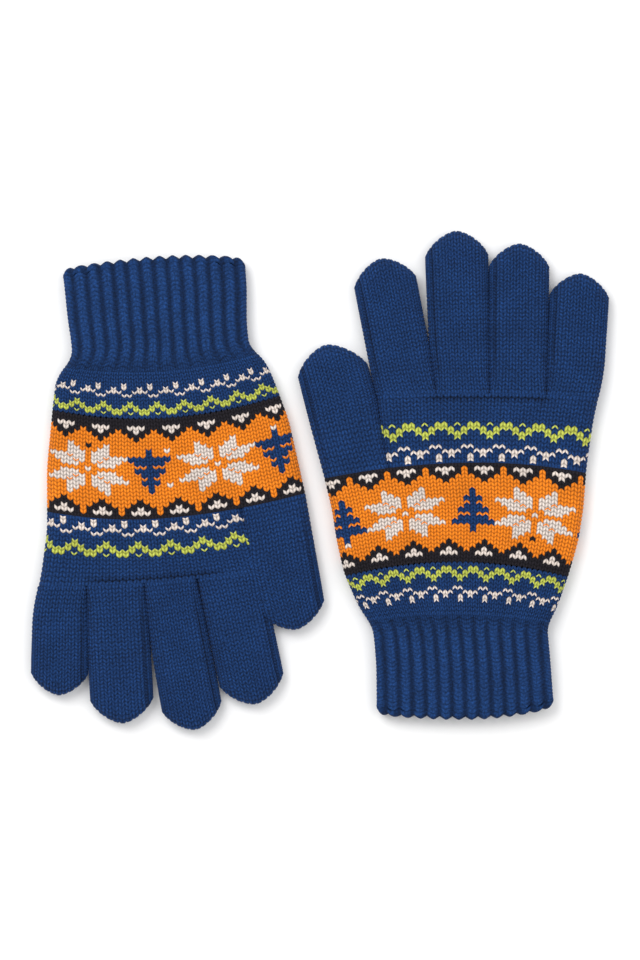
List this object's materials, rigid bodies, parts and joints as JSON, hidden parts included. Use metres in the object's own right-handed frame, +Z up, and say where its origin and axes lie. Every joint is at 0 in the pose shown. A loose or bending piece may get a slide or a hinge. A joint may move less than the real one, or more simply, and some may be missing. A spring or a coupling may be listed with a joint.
{
  "type": "knitted gloves",
  "caption": "Pair of stretchy knitted gloves laid flat, with ribbed cuffs, a snowflake and tree band between zigzag bands, and folding fingers.",
  "frame": {"origin": "centre of the pair's footprint on the surface they lie on", "axes": "+X along the pair's long side, from the left glove to the right one; +Y from the right glove's cuff to its fingertips; +Z up from the surface"},
  "size_m": [0.2412, 0.2092, 0.01],
  "materials": {
    "blue_knit": "matte stocking-stitch acrylic knit",
    "blue_rib": "matte ribbed acrylic knit",
    "zigzag_knit": "matte jacquard knit with lime and off-white zigzags",
    "snowflake_knit": "matte jacquard knit with off-white, blue and black motifs",
    "float_yarn": "loose acrylic strands",
    "elastic": "covered elastic yarn"
  },
  "bodies": {
    "right_hand": {"right_wrist_band": "zigzag_knit", "right_snowflake_band": "snowflake_knit", "right_float_strands": "float_yarn", "right_zigzag_band": "zigzag_knit", "right_knuckle_panel": "blue_knit"},
    "right_cuff_fold": {"right_cuff": "blue_rib", "right_cuff_edge": "blue_rib", "right_cuff_elastic": "elastic"},
    "right_thumb": {"right_thumb": "blue_knit"},
    "right_index": {"right_index_finger": "blue_knit"},
    "right_middle": {"right_middle_finger": "blue_knit"},
    "right_ring": {"right_ring_finger": "blue_knit"},
    "right_little": {"right_little_finger": "blue_knit"},
    "left_hand": {"left_wrist_band": "zigzag_knit", "left_snowflake_band": "snowflake_knit", "left_float_strands": "float_yarn", "left_zigzag_band": "zigzag_knit", "left_knuckle_panel": "blue_knit"},
    "left_cuff_fold": {"left_cuff": "blue_rib", "left_cuff_edge": "blue_rib", "left_cuff_elastic": "elastic"},
    "left_thumb": {"left_thumb": "blue_knit"},
    "left_index": {"left_index_finger": "blue_knit"},
    "left_middle": {"left_middle_finger": "blue_knit"},
    "left_ring": {"left_ring_finger": "blue_knit"},
    "left_little": {"left_little_finger": "blue_knit"}
  },
  "joints": [
    {"name": "left_glove_lift", "type": "slide", "parent": "right_hand", "child": "left_hand", "axis": [0, 0, 1], "range_m": [0, 0.15]},
    {"name": "left_wrist_fold", "type": "hinge", "parent": "left_hand", "child": "left_cuff_fold", "pos_m": [-0.06468, 0.04549, 0.01], "axis": [0.9962, 0.0872, 0], "range_deg": [0, 120]},
    {"name": "left_thumb_fold", "type": "hinge", "parent": "left_hand", "child": "left_thumb", "pos_m": [-0.01701, -0.01057, 0.01], "axis": [-0.9962, -0.0872, 0], "range_deg": [0, 90]},
    {"name": "left_index_fold", "type": "hinge", "parent": "left_hand", "child": "left_index", "pos_m": [-0.03782, -0.04, 0.01], "axis": [-0.9962, -0.0872, 0], "range_deg": [0, 90]},
    {"name": "left_middle_fold", "type": "hinge", "parent": "left_hand", "child": "left_middle", "pos_m": [-0.06273, -0.04217, 0.01], "axis": [-0.9962, -0.0872, 0], "range_deg": [0, 90]},
    {"name": "left_ring_fold", "type": "hinge", "parent": "left_hand", "child": "left_ring", "pos_m": [-0.08554, -0.04417, 0.01], "axis": [-0.9962, -0.0872, 0], "range_deg": [0, 90]},
    {"name": "left_little_fold", "type": "hinge", "parent": "left_hand", "child": "left_little", "pos_m": [-0.10806, -0.04614, 0.01], "axis": [-0.9962, -0.0872, 0], "range_deg": [0, 90]},
    {"name": "right_wrist_fold", "type": "hinge", "parent": "right_hand", "child": "right_cuff_fold", "pos_m": [0.05842, -0.05621, 0.01], "axis": [-1, 0, 0], "range_deg": [0, 120]},
    {"name": "right_thumb_fold", "type": "hinge", "parent": "right_hand", "child": "right_thumb", "pos_m": [0.01412, 0.00719, 0.01], "axis": [1, 0, 0], "range_deg": [0, 90]},
    {"name": "right_index_fold", "type": "hinge", "parent": "right_hand", "child": "right_index", "pos_m": [0.03632, 0.03619, 0.01], "axis": [1, 0, 0], "range_deg": [0, 90]},
    {"name": "right_middle_fold", "type": "hinge", "parent": "right_hand", "child": "right_middle", "pos_m": [0.05967, 0.03619, 0.01], "axis": [1, 0, 0], "range_deg": [0, 90]},
    {"name": "right_ring_fold", "type": "hinge", "parent": "right_hand", "child": "right_ring", "pos_m": [0.08277, 0.03619, 0.01], "axis": [1, 0, 0], "range_deg": [0, 90]},
    {"name": "right_little_fold", "type": "hinge", "parent": "right_hand", "child": "right_little", "pos_m": [0.10587, 0.03619, 0.01], "axis": [1, 0, 0], "range_deg": [0, 90]}
  ]
}
